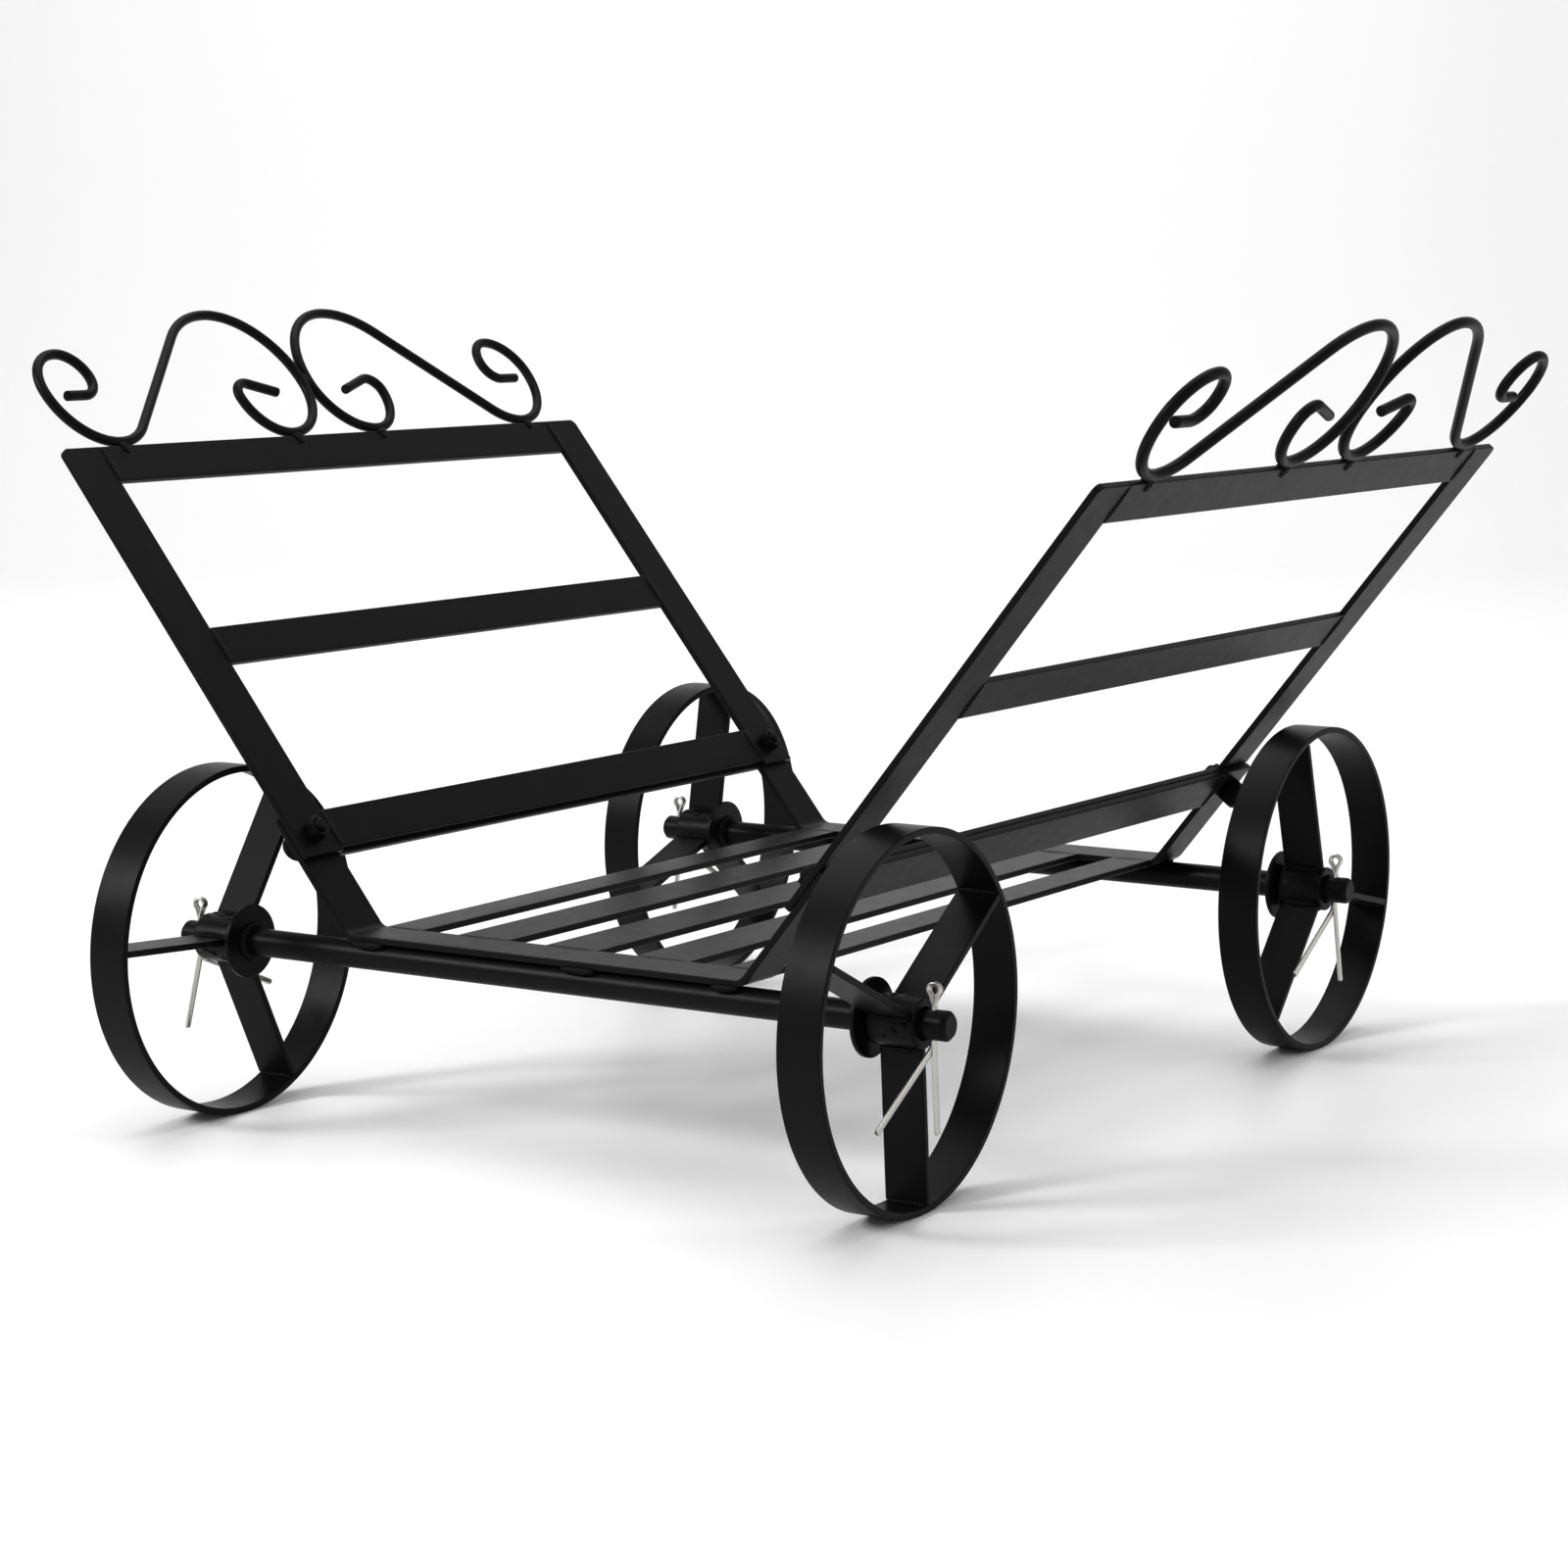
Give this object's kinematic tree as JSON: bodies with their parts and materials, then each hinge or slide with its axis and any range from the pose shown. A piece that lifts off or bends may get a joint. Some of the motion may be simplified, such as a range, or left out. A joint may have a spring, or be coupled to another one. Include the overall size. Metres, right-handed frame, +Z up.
{
  "type": "firewood log rack",
  "caption": "Black steel log rack: a flat-bar cradle with leaning side panels topped by scrollwork, on spoked flat-rim wheels held by split pins",
  "frame": {"origin": "on the ground under the middle of the rack", "axes": "X along the axles to the rack's right, Y along the logs towards the rear, Z up"},
  "size_m": [0.6384, 0.555, 0.3627],
  "materials": {
    "black_coat": "satin black powder coat over mild steel, fine texture",
    "wheel_coat": "satin black powder coat over rolled flat bar",
    "zinc": "bright zinc plate"
  },
  "bodies": {
    "chassis": {"axle_front": "black_coat", "axle_rear": "black_coat", "cradle_bar_front": "black_coat", "cradle_bar_rear": "black_coat", "slat_1": "black_coat", "slat_2": "black_coat", "slat_3": "black_coat", "edge_slat_left": "black_coat", "edge_slat_right": "black_coat", "top_rail_left": "black_coat", "top_rail_right": "black_coat", "middle_rail_left": "black_coat", "middle_rail_right": "black_coat", "foot_rail_left": "black_coat", "foot_rail_right": "black_coat", "cradle_rail_left": "black_coat", "cradle_rail_right": "black_coat", "post_front_left": "black_coat", "post_front_right": "black_coat", "post_rear_left": "black_coat", "post_rear_right": "black_coat", "bolt_front_left": "black_coat", "bolt_front_right": "black_coat", "bolt_rear_left": "black_coat", "bolt_rear_right": "black_coat", "scroll_front_left": "black_coat", "scroll_front_right": "black_coat", "scroll_rear_left": "black_coat", "scroll_rear_right": "black_coat", "washer_front_left": "black_coat", "washer_front_right": "black_coat", "washer_rear_left": "black_coat", "washer_rear_right": "black_coat", "split_pin_front_left": "zinc", "split_pin_front_right": "zinc", "split_pin_rear_left": "zinc", "split_pin_rear_right": "zinc"},
    "wheel_front_left": {"rim_front_left": "wheel_coat", "hub_front_left": "wheel_coat", "spoke_front_left_1": "wheel_coat", "spoke_front_left_2": "wheel_coat", "spoke_front_left_3": "wheel_coat"},
    "wheel_front_right": {"rim_front_right": "wheel_coat", "hub_front_right": "wheel_coat", "spoke_front_right_1": "wheel_coat", "spoke_front_right_2": "wheel_coat", "spoke_front_right_3": "wheel_coat"},
    "wheel_rear_left": {"rim_rear_left": "wheel_coat", "hub_rear_left": "wheel_coat", "spoke_rear_left_1": "wheel_coat", "spoke_rear_left_2": "wheel_coat", "spoke_rear_left_3": "wheel_coat"},
    "wheel_rear_right": {"rim_rear_right": "wheel_coat", "hub_rear_right": "wheel_coat", "spoke_rear_right_1": "wheel_coat", "spoke_rear_right_2": "wheel_coat", "spoke_rear_right_3": "wheel_coat"}
  },
  "joints": [
    {"name": "front_left_wheel_spin", "type": "hinge", "parent": "chassis", "child": "wheel_front_left", "pos_m": [-0.179, -0.1975, 0.08], "axis": [1, 0, 0], "continuous": true},
    {"name": "front_right_wheel_spin", "type": "hinge", "parent": "chassis", "child": "wheel_front_right", "pos_m": [0.179, -0.1975, 0.08], "axis": [1, 0, 0], "continuous": true},
    {"name": "rear_left_wheel_spin", "type": "hinge", "parent": "chassis", "child": "wheel_rear_left", "pos_m": [-0.179, 0.1975, 0.08], "axis": [1, 0, 0], "continuous": true},
    {"name": "rear_right_wheel_spin", "type": "hinge", "parent": "chassis", "child": "wheel_rear_right", "pos_m": [0.179, 0.1975, 0.08], "axis": [1, 0, 0], "continuous": true}
  ]
}
